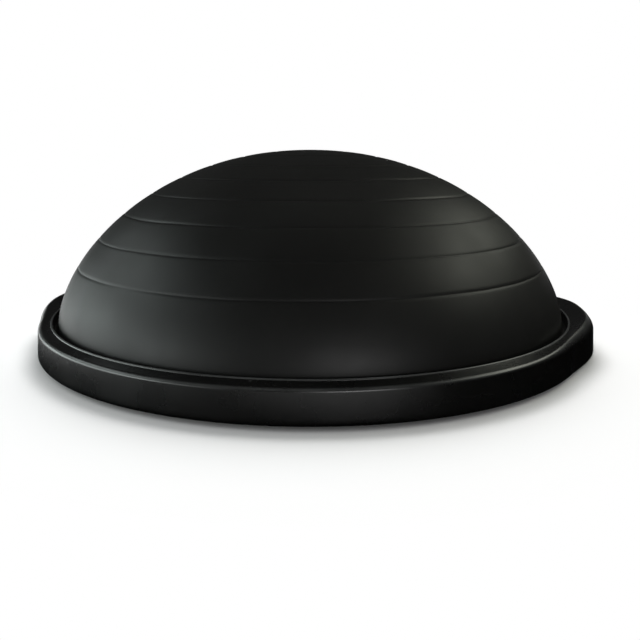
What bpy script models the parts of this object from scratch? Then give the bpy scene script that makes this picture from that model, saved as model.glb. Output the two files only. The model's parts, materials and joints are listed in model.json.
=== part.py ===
"""Half ball balance trainer: an inflated dome clamped by a soft rim to a flat platform.

Metres, +Z up. The origin is on the floor under the middle of the trainer, the two
handle ears are on the X axis, and the air valve is at the back, on +Y.
"""

import math

import bmesh
import bpy
from mathutils import Matrix, Vector

# Gap left between pieces that touch, and how finely round pieces are made
FIT = 0.0003
RING_STEPS = 48
RIM_STEPS = 96
SMALL_STEPS = 12
SCREW_STEPS = 8

# Inflated dome: radius and height of the part that shows above the rim
DOME_RADIUS = 0.2985
DOME_HEIGHT = 0.194
DOME_SIDE_POWER = 2.066
DOME_CROWN_POWER = 1.627
DOME_STEPS = 16
INNER_STEPS = 10
DOME_POLE_RADIUS = 0.004
SKIN = 0.004
FLANGE_THICKNESS = 0.004
FLANGE_FILLET = 0.003

# Grip grooves round the dome, measured along its surface from the rim upwards
GROOVE_FIRST = 0.066
GROOVE_PITCH = 0.0395
GROOVE_COUNT = 8
GROOVE_WIDTH = 0.005
GROOVE_DEPTH = 0.0009

# Floor of the air chamber, a sheet under the dome that lies on the deck
FLOOR_SHEET = 0.002
FLOOR_CLEARANCE = 0.0022

# Soft rim round the platform
RIM_GAP = 0.006
RIM_WIDTH = 0.0170
RIM_WALL = 0.0065
RIM_BOTTOM_ROUND = 0.004
RIM_EDGE_ROUND = 0.005
RIM_EDGE_HEIGHT = 0.0063
RIM_LIP_HEIGHT = 0.0093
RIM_LIP_WIDTH = 0.0026
RIM_LIP_STAND = 0.0010
ARC_STEPS = 3

# Ears over the two handles, where the rim swells and rises and its top edge is rounder
EAR_BULGE = 0.0128
EAR_RISE = 0.0112
EAR_EDGE_ROUND = 0.0185
EAR_BULGE_HALF_ANGLE = math.radians(26)
EAR_BULGE_FLAT = 0.2
EAR_RISE_HALF_ANGLE = math.radians(43)
EAR_RISE_FLAT = 0.0

# Platform: a ribbed pan below and a deck above it
PAN_PLATE = 0.003
PAN_WALL = 0.0032
DECK_SEAT_HEIGHT = 0.016
DECK_PLATE = 0.003
DECK_RISE = 0.008
RIB_THICKNESS = 0.003
RIB_COUNT = 12
HUB_RADIUS = 0.058

# Finger pockets under the ears, moulded in the pan and open below
POCKET_LENGTH = 0.112
POCKET_WIDTH = 0.030
POCKET_CORNER = 0.011
POCKET_ROUND = 0.003
POCKET_WALL = 0.0028
POCKET_CLEARANCE = 0.0015
POCKET_TO_RING = 0.006
CORNER_STEPS = 3

# Rubber feet
FOOT_HEIGHT = 0.004
FOOT_RADIUS = 0.013
FOOT_CHAMFER = 0.001
FOOT_COUNT = 8
FOOT_INSET = 0.017
SPIGOT_RADIUS = 0.005
SPIGOT_LENGTH = 0.008

# Screws: a circle of long ones into the rim and four short ones into the deck
SCREW_RADIUS = 0.0019
SCREW_HEAD_RADIUS = 0.0036
SCREW_HEAD_HEIGHT = 0.0022
SCREW_HEAD_SINK = 0.0008
SCREW_TIP = 0.0015
RIM_SCREW_COUNT = 12
RIM_SCREW_INSET = 0.0056
RIM_SCREW_BITE = 0.005
BOSS_WALL = 0.0016
DECK_SCREW_COUNT = 4
DECK_SCREW_CIRCLE = 0.145
DECK_SCREW_BITE = 0.010
DECK_BOSS_LENGTH = 0.014
PILOT_SPARE = 0.001

# Valve port moulded in the dome near its foot, and the plug that closes it
PORT_ARC = 0.034
PORT_BORE_RADIUS = 0.0045
PORT_NECK_RADIUS = 0.009
PORT_NECK_DEPTH = 0.008
PORT_COLLAR_RADIUS = 0.0125
PORT_COLLAR_HEIGHT = 0.0014
PLUG_HEAD_RADIUS = 0.0082
PLUG_HEAD_THICKNESS = 0.0026
PLUG_STEM_LENGTH = 0.016
PLUG_RIB_COUNT = 3
PLUG_RIB_DEPTH = 0.0006
PLUG_TAPER = 0.0012

# Colours as linear values, then roughness and metallic
DOME_BLACK = ((0.012, 0.012, 0.011), 0.42, 0.0)
RIM_BLACK = ((0.006, 0.006, 0.006), 0.30, 0.0)
PLATFORM_BLACK = ((0.010, 0.010, 0.010), 0.50, 0.0)
SHEET_GREY = ((0.030, 0.030, 0.030), 0.55, 0.0)
FOOT_BLACK = ((0.008, 0.008, 0.008), 0.75, 0.0)
SCREW_STEEL = ((0.35, 0.35, 0.36), 0.35, 1.0)
PLUG_WHITE = ((0.62, 0.62, 0.59), 0.40, 0.0)

# Radii worked out from the sizes above
LIP_INNER = DOME_RADIUS + RIM_GAP
RIM_RADIUS = LIP_INNER + RIM_WIDTH
RIM_INNER_WALL = RIM_RADIUS - RIM_WALL
PAN_RADIUS = RIM_INNER_WALL - FIT
FLANGE_RADIUS = PAN_RADIUS - FIT
FLOOR_STEP_RADIUS = DOME_RADIUS - SKIN - FLOOR_CLEARANCE
DECK_STEP_RADIUS = FLOOR_STEP_RADIUS - FLOOR_SHEET - FIT
DECK_WELL_RADIUS = DECK_STEP_RADIUS - DECK_PLATE
RIM_SCREW_CIRCLE = PAN_RADIUS - RIM_SCREW_INSET
FOOT_CIRCLE = RIM_SCREW_CIRCLE - FOOT_INSET
BOSS_RADIUS = SCREW_HEAD_RADIUS + BOSS_WALL

# Heights worked out from the floor upwards
UNDERSIDE = FOOT_HEIGHT
PAN_TOP = UNDERSIDE + PAN_PLATE
DECK_SEAT = UNDERSIDE + DECK_SEAT_HEIGHT
DECK_FLANGE_TOP = DECK_SEAT + DECK_PLATE
DECK_UNDERSIDE = DECK_SEAT + DECK_RISE
DECK_TOP = DECK_UNDERSIDE + DECK_PLATE
FLOOR_FLANGE = DECK_FLANGE_TOP + FIT
FLOOR_TOP = DECK_TOP + FIT + FLOOR_SHEET
FLANGE_BOTTOM = FLOOR_FLANGE + FLOOR_SHEET + FIT
FLANGE_TOP = FLANGE_BOTTOM + FLANGE_THICKNESS
WEB_BOTTOM = FLANGE_TOP + FIT
RIM_EDGE_TOP = WEB_BOTTOM + RIM_EDGE_HEIGHT
LIP_TOP = WEB_BOTTOM + RIM_LIP_HEIGHT
DOME_BASE = LIP_TOP - RIM_LIP_STAND

# Plan of the finger pockets, whose outer corners reach almost to the deck's well wall
WELL_REACH = DECK_WELL_RADIUS - POCKET_CLEARANCE
POCKET_OUTER_X = math.sqrt(WELL_REACH**2 - (POCKET_LENGTH / 2 + POCKET_WALL) ** 2)
POCKET_X = POCKET_OUTER_X - POCKET_WALL - POCKET_WIDTH / 2
POCKET_HALF_ANGLE = math.atan2(POCKET_LENGTH / 2 + POCKET_WALL + RIB_THICKNESS,
                               POCKET_X - POCKET_WIDTH / 2 - POCKET_WALL)
MID_RING_RADIUS = POCKET_X - POCKET_WIDTH / 2 - POCKET_WALL - POCKET_TO_RING


def material(name, finish):
    """A plain surface of the given colour, roughness and metallic value."""
    colour, roughness, metallic = finish
    made = bpy.data.materials.new(name)
    made.use_nodes = True
    shader = made.node_tree.nodes["Principled BSDF"]
    shader.inputs["Base Color"].default_value = (*colour, 1.0)
    shader.inputs["Roughness"].default_value = roughness
    shader.inputs["Metallic"].default_value = metallic
    made.diffuse_color = (*colour, 1.0)
    return made


def circle(radius, height, steps, centre=(0.0, 0.0)):
    """Points round a level circle, anticlockwise seen from above."""
    turns = [2 * math.pi * i / steps for i in range(steps)]
    x, y = centre
    return [(x + radius * math.cos(a), y + radius * math.sin(a), height) for a in turns]


def rounded_rectangle(centre_x, half_x, half_y, corner, height):
    """Points round a level rectangle with round corners, anticlockwise."""
    points = []
    for quarter, (side_x, side_y) in enumerate(((1, 1), (-1, 1), (-1, -1), (1, -1))):
        for i in range(CORNER_STEPS + 1):
            turn = math.pi / 2 * (quarter + i / CORNER_STEPS)
            x = centre_x + side_x * (half_x - corner) + corner * math.cos(turn)
            y = side_y * (half_y - corner) + corner * math.sin(turn)
            points.append((x, y, height))
    return points


def quarter_arc(centre, radius, start, end):
    """Points along an arc in a section, from angle start to angle end."""
    turns = [start + (end - start) * i / ARC_STEPS for i in range(ARC_STEPS + 1)]
    return [(centre[0] + radius * math.cos(a), centre[1] + radius * math.sin(a)) for a in turns]


def add_skin(mesh, loops, wrap=False):
    """Joins loops of equal length with faces, then closes both ends unless they wrap."""
    rings = [[mesh.verts.new(point) for point in loop] for loop in loops]
    pairs = list(zip(rings, rings[1:]))
    if wrap:
        pairs.append((rings[-1], rings[0]))
    else:
        mesh.faces.new(list(reversed(rings[0])))
        mesh.faces.new(rings[-1])
    for lower, upper in pairs:
        for i in range(len(lower)):
            j = (i + 1) % len(lower)
            mesh.faces.new((lower[i], lower[j], upper[j], upper[i]))


def finish_object(name, mesh, surface):
    """Turns a bmesh into a named, smooth-shaded object with its faces pointing out."""
    bmesh.ops.recalc_face_normals(mesh, faces=mesh.faces)
    data = bpy.data.meshes.new(name)
    mesh.to_mesh(data)
    mesh.free()
    data.materials.append(surface)
    data.shade_smooth()
    data.set_sharp_from_angle(angle=math.radians(35))
    made = bpy.data.objects.new(name, data)
    bpy.context.scene.collection.objects.link(made)
    return made


def skinned(name, loops, surface, wrap=False):
    """An object made of one skin of loops."""
    mesh = bmesh.new()
    add_skin(mesh, loops, wrap)
    return finish_object(name, mesh, surface)


def turned_loops(profile, steps, centre=(0.0, 0.0)):
    return [circle(radius, height, steps, centre) for radius, height in profile]


def helper(name, mesh, surface):
    """A shape that joins or cuts another and isn't a piece itself."""
    made = finish_object(name, mesh, surface)
    made.hide_render = True
    made.display_type = "WIRE"
    return made


def combine(target, other, operation):
    step = target.modifiers.new(other.name, "BOOLEAN")
    step.operation = operation
    step.solver = "EXACT"
    step.object = other


def places_on_circle(radius, count, first_turn):
    """Points spread evenly on a circle."""
    turns = [first_turn + 2 * math.pi * i / count for i in range(count)]
    return [(radius * math.cos(a), radius * math.sin(a)) for a in turns]


def posts(name, places, radius, bottom, top, steps, surface):
    """A helper with one upright post at each place."""
    mesh = bmesh.new()
    for place in places:
        add_skin(mesh, turned_loops([(radius, bottom), (radius, top)], steps, place))
    return helper(name, mesh, surface)


def dome_point(turn, inset):
    """A point of the dome's section. The turn runs from 0 at the rim to 90 degrees at the crown."""
    radius = DOME_RADIUS * math.cos(turn) ** (2 / DOME_SIDE_POWER)
    height = DOME_HEIGHT * math.sin(turn) ** (2 / DOME_CROWN_POWER)
    out = Vector((DOME_SIDE_POWER / DOME_RADIUS * (radius / DOME_RADIUS) ** (DOME_SIDE_POWER - 1),
                  DOME_CROWN_POWER / DOME_HEIGHT * (height / DOME_HEIGHT) ** (DOME_CROWN_POWER - 1)))
    out.normalize()
    return Vector((radius, DOME_BASE + height)) - out * inset, out


def dome_curve(inset, samples=400):
    """The dome's section as (distance along it, point, outward direction), from rim to crown."""
    curve = []
    travelled = 0.0
    for i in range(samples):
        point, out = dome_point(math.pi / 2 * i / samples, inset)
        if curve:
            travelled += (point - curve[-1][1]).length
        curve.append((travelled, point, out))
    return curve


def on_curve(curve, distance):
    """The point and outward direction at a distance along a section."""
    for (start, point, out), (end, next_point, next_out) in zip(curve, curve[1:]):
        if end >= distance:
            share = (distance - start) / (end - start)
            return point.lerp(next_point, share), out.lerp(next_out, share).normalized()
    return curve[-1][1], curve[-1][2]


def dome_outside():
    """The outer section from rim to crown, with a groove pressed in at each ring."""
    curve = dome_curve(0.0)
    length = curve[-1][0]
    per_step = len(curve) // DOME_STEPS
    grooves = [GROOVE_FIRST + i * GROOVE_PITCH for i in range(GROOVE_COUNT)]
    grooves = [g for g in grooves if g + GROOVE_WIDTH < length - DOME_POLE_RADIUS]
    stations = [(g + side * GROOVE_WIDTH / 2, GROOVE_DEPTH if side == 0 else 0.0)
                for g in grooves for side in (-1, 0, 1)]
    plain = [curve[i * per_step][0] for i in range(1, DOME_STEPS)]
    plain = [d for d in plain if all(abs(d - g) > GROOVE_WIDTH for g in grooves)]
    stations += [(d, 0.0) for d in plain if d < length - 2 * DOME_POLE_RADIUS]
    points = []
    for distance, depth in sorted(stations):
        point, out = on_curve(curve, distance)
        points.append(point - out * depth)
    return points


def crown_point(inset):
    """Where the section is closed with a small flat disc at the very top."""
    return (DOME_POLE_RADIUS, DOME_BASE + DOME_HEIGHT - inset)


def dome_profile():
    """The whole dome section, from the crown outside, down round the flange and up inside."""
    outside = [crown_point(0.0)]
    outside += [tuple(point) for point in reversed(dome_outside())]
    foot = [(DOME_RADIUS, DOME_BASE)]
    fillet = (DOME_RADIUS + FLANGE_FILLET, FLANGE_TOP + FLANGE_FILLET)
    foot += quarter_arc(fillet, FLANGE_FILLET, math.pi, 1.5 * math.pi)
    foot += [(FLANGE_RADIUS, FLANGE_TOP), (FLANGE_RADIUS, FLANGE_BOTTOM)]
    foot += [(DOME_RADIUS - SKIN, FLANGE_BOTTOM), (DOME_RADIUS - SKIN, DOME_BASE)]
    inside = [tuple(dome_point(math.pi / 2 * i / INNER_STEPS, SKIN)[0]) for i in range(1, INNER_STEPS)]
    return outside + foot + inside + [crown_point(SKIN)]


def port_frame():
    """A matrix at the dome's surface, its Z pointing out of the dome at the back."""
    point, out = on_curve(dome_curve(0.0), PORT_ARC)
    place = Vector((0.0, point.x, point.y))
    outward = Vector((0.0, out.x, out.y))
    sideways = Vector((1.0, 0.0, 0.0))
    turn = Matrix((sideways, outward.cross(sideways), outward)).transposed()
    return Matrix.Translation(place) @ turn.to_4x4()


def make_dome(surface):
    dome = skinned("dome_skin", turned_loops(dome_profile(), RING_STEPS), surface)
    holes = posts("flange_hole_cutter", rim_screw_places(), SCREW_RADIUS + FIT,
                  FLANGE_BOTTOM - FLANGE_THICKNESS, FLANGE_TOP + FLANGE_THICKNESS, SCREW_STEPS, surface)
    combine(dome, holes, "DIFFERENCE")
    neck_end = -SKIN - PORT_NECK_DEPTH
    former = [(PORT_COLLAR_RADIUS - PORT_COLLAR_HEIGHT, PORT_COLLAR_HEIGHT), (PORT_COLLAR_RADIUS, 0.0),
              (PORT_COLLAR_RADIUS, -SKIN / 2), (PORT_NECK_RADIUS, -SKIN / 2), (PORT_NECK_RADIUS, neck_end)]
    bore = [(PORT_BORE_RADIUS, 2 * PORT_COLLAR_HEIGHT), (PORT_BORE_RADIUS, neck_end - SKIN)]
    for name, profile, operation in (("port_former", former, "UNION"), ("port_cutter", bore, "DIFFERENCE")):
        mesh = bmesh.new()
        add_skin(mesh, turned_loops(profile, SMALL_STEPS))
        tool = helper(name, mesh, surface)
        tool.matrix_world = port_frame()
        combine(dome, tool, operation)


def make_floor_sheet(surface):
    bottom = DECK_TOP + FIT
    inner_step = DECK_STEP_RADIUS + FIT
    flange_top = FLOOR_FLANGE + FLOOR_SHEET
    profile = [(DOME_POLE_RADIUS, bottom), (inner_step, bottom), (inner_step, FLOOR_FLANGE),
               (FLANGE_RADIUS, FLOOR_FLANGE), (FLANGE_RADIUS, flange_top),
               (FLOOR_STEP_RADIUS, flange_top), (FLOOR_STEP_RADIUS, FLOOR_TOP), (DOME_POLE_RADIUS, FLOOR_TOP)]
    sheet = skinned("chamber_floor", turned_loops(profile, RING_STEPS), surface)
    holes = posts("floor_hole_cutter", rim_screw_places(), SCREW_RADIUS + FIT,
                  FLOOR_FLANGE - FLOOR_SHEET, flange_top + FLOOR_SHEET, SCREW_STEPS, surface)
    combine(sheet, holes, "DIFFERENCE")


def ear_share(turn, half_angle, flat):
    """1 over a handle, easing to 0 at half_angle from the X axis."""
    away = abs(math.remainder(turn, math.pi))
    share = min(max((half_angle - away) / (half_angle * (1 - flat)), 0.0), 1.0)
    return share * share * (3 - 2 * share)


def rim_section(turn):
    """The rim's section at an angle round the trainer, from the inner wall's foot and back."""
    risen = ear_share(turn, EAR_RISE_HALF_ANGLE, EAR_RISE_FLAT)
    outer = RIM_RADIUS + EAR_BULGE * ear_share(turn, EAR_BULGE_HALF_ANGLE, EAR_BULGE_FLAT)
    edge = RIM_EDGE_TOP + EAR_RISE * risen
    edge_round = RIM_EDGE_ROUND + (EAR_EDGE_ROUND - RIM_EDGE_ROUND) * risen
    lip_round = RIM_LIP_WIDTH / 2
    lip_centre = (LIP_INNER + lip_round, LIP_TOP - lip_round)
    points = [(RIM_INNER_WALL, WEB_BOTTOM), (RIM_INNER_WALL, UNDERSIDE)]
    points += quarter_arc((outer - RIM_BOTTOM_ROUND, UNDERSIDE + RIM_BOTTOM_ROUND),
                          RIM_BOTTOM_ROUND, -math.pi / 2, 0.0)
    points += quarter_arc((outer - edge_round, edge - edge_round), edge_round, 0.0, 0.4 * math.pi)
    points += quarter_arc(lip_centre, lip_round, 0.3 * math.pi, math.pi)
    points.append((LIP_INNER, WEB_BOTTOM))
    return points


def make_rim(surface):
    mesh = bmesh.new()
    loops = []
    for i in range(RIM_STEPS):
        turn = 2 * math.pi * i / RIM_STEPS
        across = (math.cos(turn), math.sin(turn))
        loops.append([(r * across[0], r * across[1], z) for r, z in rim_section(turn)])
    add_skin(mesh, loops, wrap=True)
    rim = finish_object("rim_ring", mesh, surface)
    pilots = posts("rim_pilot_cutter", rim_screw_places(), SCREW_RADIUS + FIT,
                   WEB_BOTTOM - FLANGE_THICKNESS, WEB_BOTTOM + RIM_SCREW_BITE + PILOT_SPARE, SCREW_STEPS, surface)
    combine(rim, pilots, "DIFFERENCE")


def rim_screw_places():
    return places_on_circle(RIM_SCREW_CIRCLE, RIM_SCREW_COUNT, math.pi / RIM_SCREW_COUNT)


def deck_screw_places():
    return places_on_circle(DECK_SCREW_CIRCLE, DECK_SCREW_COUNT, math.pi / DECK_SCREW_COUNT)


def foot_places():
    return places_on_circle(FOOT_CIRCLE, FOOT_COUNT, math.pi / FOOT_COUNT)


def make_deck(surface):
    profile = [(DOME_POLE_RADIUS, DECK_UNDERSIDE), (DECK_WELL_RADIUS, DECK_UNDERSIDE),
               (DECK_WELL_RADIUS, DECK_SEAT), (PAN_RADIUS, DECK_SEAT), (PAN_RADIUS, DECK_FLANGE_TOP),
               (DECK_STEP_RADIUS, DECK_FLANGE_TOP), (DECK_STEP_RADIUS, DECK_TOP), (DOME_POLE_RADIUS, DECK_TOP)]
    deck = skinned("deck_plate", turned_loops(profile, RING_STEPS), surface)
    bosses = posts("deck_boss_former", deck_screw_places(), BOSS_RADIUS,
                   DECK_UNDERSIDE - DECK_BOSS_LENGTH, DECK_UNDERSIDE + DECK_PLATE / 2, SMALL_STEPS, surface)
    combine(deck, bosses, "UNION")
    boss_end = DECK_UNDERSIDE - DECK_BOSS_LENGTH
    pilots = posts("deck_pilot_cutter", deck_screw_places(), SCREW_RADIUS + FIT,
                   boss_end - PILOT_SPARE, boss_end + DECK_SCREW_BITE + PILOT_SPARE, SCREW_STEPS, surface)
    combine(deck, pilots, "DIFFERENCE")
    holes = posts("deck_hole_cutter", rim_screw_places(), SCREW_RADIUS + FIT,
                  DECK_SEAT - DECK_PLATE, DECK_FLANGE_TOP + DECK_PLATE, SCREW_STEPS, surface)
    combine(deck, holes, "DIFFERENCE")


def pan_profile():
    """Section of the pan: its plate with the hub, the middle ring and the outer wall on top."""
    rib_top = DECK_UNDERSIDE - FIT
    profile = [(DOME_POLE_RADIUS, UNDERSIDE), (PAN_RADIUS, UNDERSIDE), (PAN_RADIUS, DECK_SEAT - FIT),
               (PAN_RADIUS - PAN_WALL, DECK_SEAT - FIT), (PAN_RADIUS - PAN_WALL, PAN_TOP)]
    for radius in (MID_RING_RADIUS, HUB_RADIUS):
        inner = radius - RIB_THICKNESS
        profile += [(radius, PAN_TOP), (radius, rib_top), (inner, rib_top), (inner, PAN_TOP)]
    return profile + [(DOME_POLE_RADIUS, PAN_TOP)]


def add_rib(mesh, turn, start, end, bottom, top):
    """An upright rib that runs outwards at an angle."""
    half = RIB_THICKNESS / 2
    spin = Matrix.Rotation(turn, 3, "Z")
    corners = [(start, -half), (end, -half), (end, half), (start, half)]
    add_skin(mesh, [[spin @ Vector((x, y, z)) for x, y in corners] for z in (bottom, top)])


def make_ribs(surface):
    """Spokes from the hub to the middle ring, and on past it clear of the finger pockets."""
    mesh = bmesh.new()
    bottom = PAN_TOP - PAN_PLATE / 2
    top = DECK_UNDERSIDE - FIT
    bite = RIB_THICKNESS / 2
    for i in range(RIB_COUNT):
        turn = 2 * math.pi * i / RIB_COUNT
        add_rib(mesh, turn, HUB_RADIUS - bite, MID_RING_RADIUS - bite, bottom, top)
        if abs(math.sin(turn)) > math.sin(POCKET_HALF_ANGLE):
            add_rib(mesh, turn, MID_RING_RADIUS - RIB_THICKNESS / 3, WELL_REACH, bottom, top)
    return helper("rib_former", mesh, surface)


def pocket_loops(side, stages):
    """Outlines of the finger pocket on one side, grown outwards at each height."""
    return [rounded_rectangle(side * POCKET_X, POCKET_WIDTH / 2 + grow, POCKET_LENGTH / 2 + grow,
                              POCKET_CORNER + grow, height) for grow, height in stages]


def make_pan(surface):
    """The ribbed pan, with its screw bosses, its finger pockets and the holes in its plate."""
    pan = skinned("base_pan", turned_loops(pan_profile(), RING_STEPS), surface)
    combine(pan, make_ribs(surface), "UNION")
    root = PAN_TOP - PAN_PLATE / 2
    edge_bosses = posts("edge_boss_former", rim_screw_places(), BOSS_RADIUS,
                        root, DECK_SEAT - FIT, SMALL_STEPS, surface)
    combine(pan, edge_bosses, "UNION")
    inner_bosses = posts("inner_boss_former", deck_screw_places(), BOSS_RADIUS,
                         root, DECK_UNDERSIDE - DECK_BOSS_LENGTH - FIT, SMALL_STEPS, surface)
    combine(pan, inner_bosses, "UNION")
    roof = DECK_UNDERSIDE - FIT
    ceiling = roof - POCKET_WALL
    walls = [(POCKET_WALL, root), (POCKET_WALL, roof - POCKET_ROUND), (POCKET_WALL - POCKET_ROUND, roof)]
    hollow = [(2 * POCKET_ROUND, UNDERSIDE - POCKET_ROUND), (0.0, UNDERSIDE + POCKET_ROUND),
              (0.0, ceiling - POCKET_ROUND), (-POCKET_ROUND, ceiling)]
    mesh = bmesh.new()
    for side in (-1, 1):
        add_skin(mesh, pocket_loops(side, walls))
    combine(pan, helper("pocket_former", mesh, surface), "UNION")
    mesh = bmesh.new()
    for side in (-1, 1):
        add_skin(mesh, pocket_loops(side, hollow))
    head_top = UNDERSIDE + SCREW_HEAD_SINK + SCREW_HEAD_HEIGHT + FIT
    for place in rim_screw_places() + deck_screw_places():
        stepped = [(SCREW_HEAD_RADIUS + FIT, UNDERSIDE - PAN_PLATE), (SCREW_HEAD_RADIUS + FIT, head_top),
                   (SCREW_RADIUS + FIT, head_top), (SCREW_RADIUS + FIT, DECK_UNDERSIDE)]
        add_skin(mesh, turned_loops(stepped, SCREW_STEPS, place))
    for place in foot_places():
        bore = [(SPIGOT_RADIUS + FIT, UNDERSIDE - PAN_PLATE), (SPIGOT_RADIUS + FIT, PAN_TOP + PAN_PLATE)]
        add_skin(mesh, turned_loops(bore, SMALL_STEPS, place))
    combine(pan, helper("pan_hole_cutter", mesh, surface), "DIFFERENCE")


def make_feet(surface):
    spigot_top = UNDERSIDE + SPIGOT_LENGTH
    sole = UNDERSIDE - FIT
    profile = [(FOOT_RADIUS - FOOT_CHAMFER, 0.0), (FOOT_RADIUS, FOOT_CHAMFER), (FOOT_RADIUS, sole),
               (SPIGOT_RADIUS, sole), (SPIGOT_RADIUS, spigot_top - FOOT_CHAMFER),
               (SPIGOT_RADIUS - FOOT_CHAMFER, spigot_top)]
    for number, place in enumerate(foot_places(), 1):
        skinned(f"foot_{number}", turned_loops(profile, SMALL_STEPS, place), surface)


def make_screws(name, places, tip_height, surface):
    """Pan-head screws driven up from below, each its own piece."""
    low = UNDERSIDE + SCREW_HEAD_SINK
    shoulder = low + SCREW_HEAD_HEIGHT
    crown = SCREW_HEAD_RADIUS * 0.8
    profile = [(crown, low), (SCREW_HEAD_RADIUS, low + SCREW_HEAD_HEIGHT / 3), (SCREW_HEAD_RADIUS, shoulder),
               (SCREW_RADIUS, shoulder), (SCREW_RADIUS, tip_height - SCREW_TIP), (SCREW_RADIUS / 3, tip_height)]
    for number, place in enumerate(places, 1):
        skinned(f"{name}_{number}", turned_loops(profile, SCREW_STEPS, place), surface)


def make_plug(surface):
    """The plug pushed into the port, its parent empty on the port's axis."""
    axis = bpy.data.objects.new("plug_axis", None)
    bpy.context.scene.collection.objects.link(axis)
    axis.matrix_world = port_frame()
    head_bottom = PORT_COLLAR_HEIGHT + FIT
    head_top = head_bottom + PLUG_HEAD_THICKNESS
    stem = PORT_BORE_RADIUS - FIT
    core = stem - PLUG_RIB_DEPTH
    pitch = PLUG_STEM_LENGTH / (PLUG_RIB_COUNT + 1)
    profile = [(PLUG_HEAD_RADIUS - PLUG_HEAD_THICKNESS, head_top),
               (PLUG_HEAD_RADIUS, head_top - PLUG_HEAD_THICKNESS / 2),
               (PLUG_HEAD_RADIUS, head_bottom), (core, head_bottom)]
    for i in range(1, PLUG_RIB_COUNT + 1):
        middle = head_bottom - i * pitch
        profile += [(core, middle + pitch / 4), (stem, middle), (core, middle - pitch / 4)]
    profile.append((core - PLUG_TAPER, head_bottom - PLUG_STEM_LENGTH))
    plug = skinned("valve_plug", turned_loops(profile, SMALL_STEPS), surface)
    plug.parent = axis


def main():
    for old in list(bpy.data.objects):
        bpy.data.objects.remove(old, do_unlink=True)
    platform_black = material("platform_black", PLATFORM_BLACK)
    screw_steel = material("screw_steel", SCREW_STEEL)
    make_dome(material("dome_black", DOME_BLACK))
    make_floor_sheet(material("sheet_grey", SHEET_GREY))
    make_rim(material("rim_black", RIM_BLACK))
    make_deck(platform_black)
    make_pan(platform_black)
    make_feet(material("foot_black", FOOT_BLACK))
    deck_boss_end = DECK_UNDERSIDE - DECK_BOSS_LENGTH
    make_screws("rim_screw", rim_screw_places(), WEB_BOTTOM + RIM_SCREW_BITE, screw_steel)
    make_screws("deck_screw", deck_screw_places(), deck_boss_end + DECK_SCREW_BITE, screw_steel)
    make_plug(material("plug_white", PLUG_WHITE))
    axis = port_frame()
    print("plug axis at", [round(v, 6) for v in axis.translation],
          "pointing", [round(v, 6) for v in axis.col[2][:3]])
    print("pocket centre x", round(POCKET_X, 5), "outer x", round(POCKET_OUTER_X, 5))
    print("heights: deck underside", round(DECK_UNDERSIDE, 5), "lip top", round(LIP_TOP, 5),
          "crown", round(DOME_BASE + DOME_HEIGHT, 5))


main()
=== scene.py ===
import json
import math

import bmesh
import bpy
from mathutils import Matrix, Vector


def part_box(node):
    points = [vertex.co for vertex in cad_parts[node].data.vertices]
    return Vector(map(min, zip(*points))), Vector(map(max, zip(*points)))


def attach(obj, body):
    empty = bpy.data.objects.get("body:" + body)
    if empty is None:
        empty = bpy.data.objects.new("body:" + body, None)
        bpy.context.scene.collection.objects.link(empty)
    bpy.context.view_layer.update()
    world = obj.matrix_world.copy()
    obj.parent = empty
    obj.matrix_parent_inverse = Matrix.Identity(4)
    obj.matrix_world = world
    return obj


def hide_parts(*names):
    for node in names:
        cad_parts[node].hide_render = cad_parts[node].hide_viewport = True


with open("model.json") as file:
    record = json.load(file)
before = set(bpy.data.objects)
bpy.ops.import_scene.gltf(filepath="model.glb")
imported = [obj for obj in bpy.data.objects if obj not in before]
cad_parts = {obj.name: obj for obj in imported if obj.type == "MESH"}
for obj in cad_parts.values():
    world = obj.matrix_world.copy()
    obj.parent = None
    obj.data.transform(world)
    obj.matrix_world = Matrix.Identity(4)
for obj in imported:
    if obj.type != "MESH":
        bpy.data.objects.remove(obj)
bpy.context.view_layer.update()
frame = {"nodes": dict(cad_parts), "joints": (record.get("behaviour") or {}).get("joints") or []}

trainerBody, plugBody = "trainer", "plug"
sharpAngle = 50.0    # an edge whose faces turn by more degrees than this stays sharp
print("frame loaded:", len(frame["nodes"]), "nodes")


class Field:    # the value of a socket, for sums in geometry trees and shader trees alike
    def __init__(self, tree, socket):
        self.tree = tree
        self.socket = socket

    def calc(self, operation, *others):
        node = self.tree.nodes.new("ShaderNodeMath")
        node.operation = operation
        for slot, value in zip(node.inputs, (self, *others)):
            feed(self.tree, slot, value)
        return Field(self.tree, node.outputs[0])

    def __add__(self, other):
        return self.calc("ADD", other)

    def __sub__(self, other):
        return self.calc("SUBTRACT", other)

    def __mul__(self, other):
        return self.calc("MULTIPLY", other)

    def __truediv__(self, other):
        return self.calc("DIVIDE", other)

    def __neg__(self):
        return self.calc("MULTIPLY", -1.0)

    def clamp(self, low, high):
        return self.calc("MAXIMUM", low).calc("MINIMUM", high)

    def ramp(self, low, high):    # 0 up to low, then rising to 1 at high
        return ((self - low) / (high - low)).clamp(0.0, 1.0)


def feed(tree, slot, value):
    if isinstance(value, Field):
        tree.links.new(value.socket, slot)
    else:
        slot.default_value = value


def addNode(tree, kind, slots=None, **settings):
    node = tree.nodes.new(kind)
    for name, value in settings.items():
        setattr(node, name, value)
    for name, value in (slots or {}).items():
        feed(tree, node.inputs[name], value)
    return node


def out(node, name=0):
    return Field(node.id_data, node.outputs[name])


def vectorOf(tree, x=0.0, y=0.0, z=0.0):
    return out(addNode(tree, "ShaderNodeCombineXYZ", {"X": x, "Y": y, "Z": z}))


def partsOf(tree, vector):
    node = addNode(tree, "ShaderNodeSeparateXYZ", {"Vector": vector})
    return [out(node, axis) for axis in ("X", "Y", "Z")]


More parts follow.
